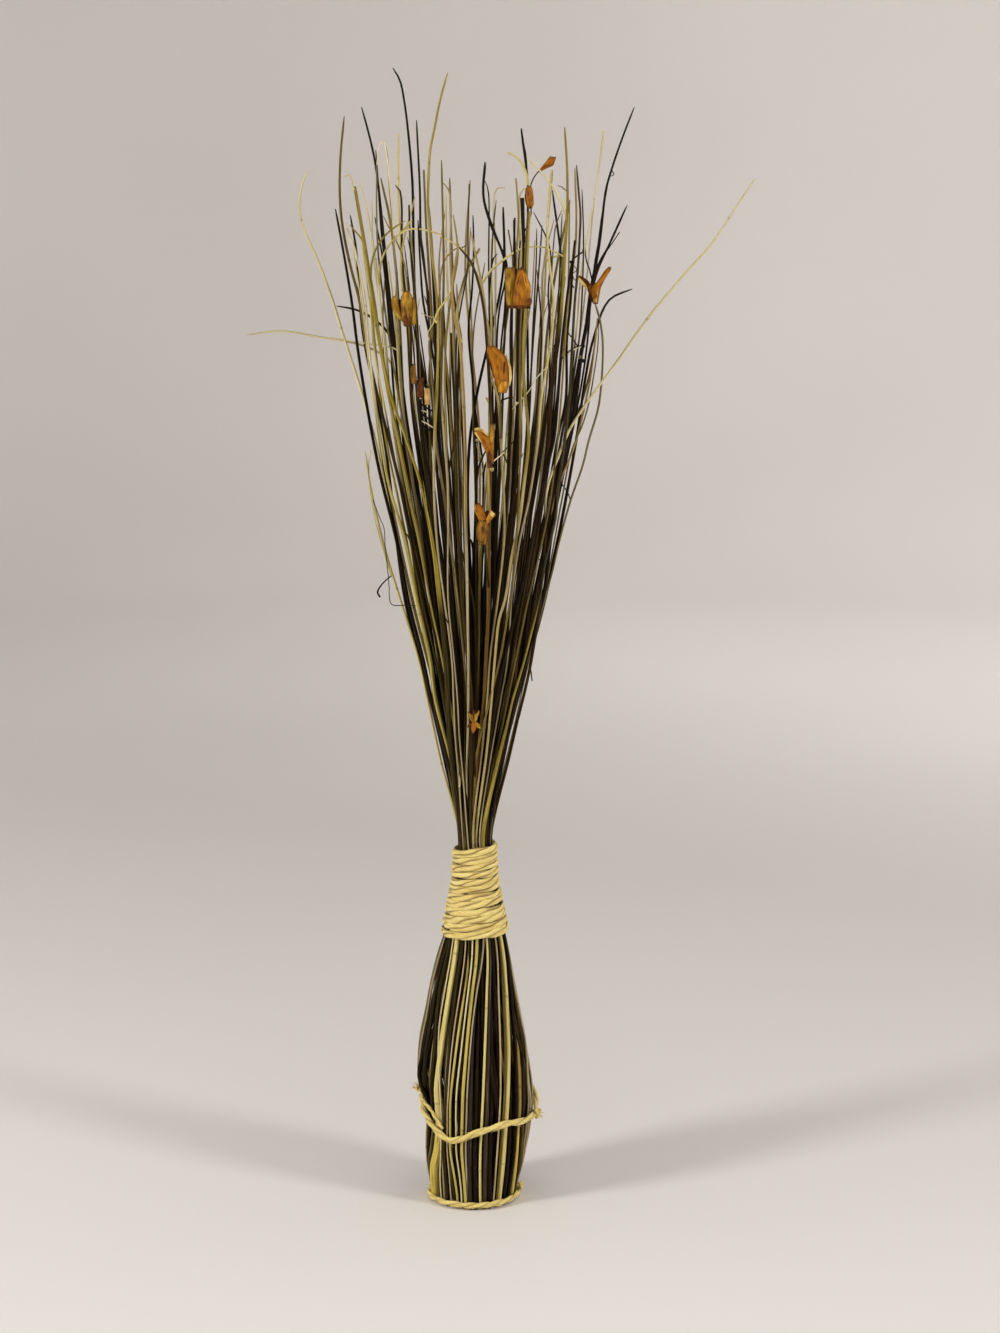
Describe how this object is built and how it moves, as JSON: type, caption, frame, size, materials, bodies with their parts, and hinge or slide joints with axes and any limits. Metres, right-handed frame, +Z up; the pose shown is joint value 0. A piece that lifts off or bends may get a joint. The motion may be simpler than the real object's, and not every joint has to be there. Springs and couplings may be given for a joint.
{
  "type": "bunch of dried reeds",
  "caption": "Free-standing bunch of dried reeds, tied with cord at the foot, belly and neck, with orange papery husks in the open spray above.",
  "frame": {"origin": "on the floor, at the middle of the whole bunch's bounding box; the foot of the bunch stands a little to the left of it, because the longest side reeds reach further right", "axes": "+Z up along the bunch, -Y to the front that the picture shows, +X to its right"},
  "size_m": [0.436, 0.2068, 1.0085],
  "materials": {
    "reed_dark": "semi-gloss, dyed very dark brown",
    "reed_brown": "semi-gloss, dark brown",
    "reed_olive": "semi-gloss, olive brown",
    "reed_straw": "satin, straw yellow",
    "reed_pale": "satin, weathered cream",
    "cord": "twisted straw cord, matte",
    "neck_cord": "twisted straw cord, matte",
    "husk": "papery, orange to golden brown"
  },
  "bodies": {
    "root": {"base_cord": "cord", "belly_cord": "cord", "belly_cord_end": "cord", "neck_cord": "neck_cord", "husk_beaded": "husk", "husk_leaf": "husk", "husk_left_cluster": "husk", "husk_middle_fork": "husk", "husk_right_fork": "husk", "husk_star": "husk", "husk_tulip": "husk", "husk_upper_tube": "husk", "husk_wide_tube": "husk", "reed_left_outer": "reed_dark", "reed_left_dark": "reed_dark", "reed_dark_mid": "reed_dark", "reed_dark_right": "reed_dark", "reed_right_dark_one": "reed_dark", "reed_right_dark_two": "reed_dark", "reed_inner_dark": "reed_dark", "reed_back_03": "reed_dark", "reed_back_04": "reed_dark", "reed_back_06": "reed_dark", "reed_back_09": "reed_dark", "reed_back_10": "reed_dark", "reed_back_12": "reed_dark", "reed_back_14": "reed_dark", "reed_back_15": "reed_dark", "reed_back_21": "reed_dark", "reed_left_brown": "reed_brown", "reed_brown_mid": "reed_brown", "reed_brown_right": "reed_brown", "reed_back_01": "reed_brown", "reed_back_07": "reed_brown", "reed_back_18": "reed_brown", "reed_left_olive": "reed_olive", "reed_olive_mid": "reed_olive", "reed_right_olive": "reed_olive", "reed_right_outer": "reed_olive", "reed_back_02": "reed_olive", "reed_back_05": "reed_olive", "reed_back_13": "reed_olive", "reed_back_17": "reed_olive", "reed_edge_straw": "reed_straw", "reed_broad_straw": "reed_straw", "reed_straw_right": "reed_straw", "reed_right_long": "reed_straw", "reed_back_08": "reed_straw", "reed_back_16": "reed_straw", "reed_back_19": "reed_straw", "reed_right_tan": "reed_straw", "reed_back_11": "reed_straw", "reed_inner_tan": "reed_straw", "reed_grey_left": "reed_pale", "reed_inner_grey": "reed_pale", "reed_pale_one": "reed_pale", "reed_pale_two": "reed_pale", "reed_pale_mid": "reed_pale", "reed_cream": "reed_pale", "reed_back_20": "reed_pale"}
  },
  "joints": []
}
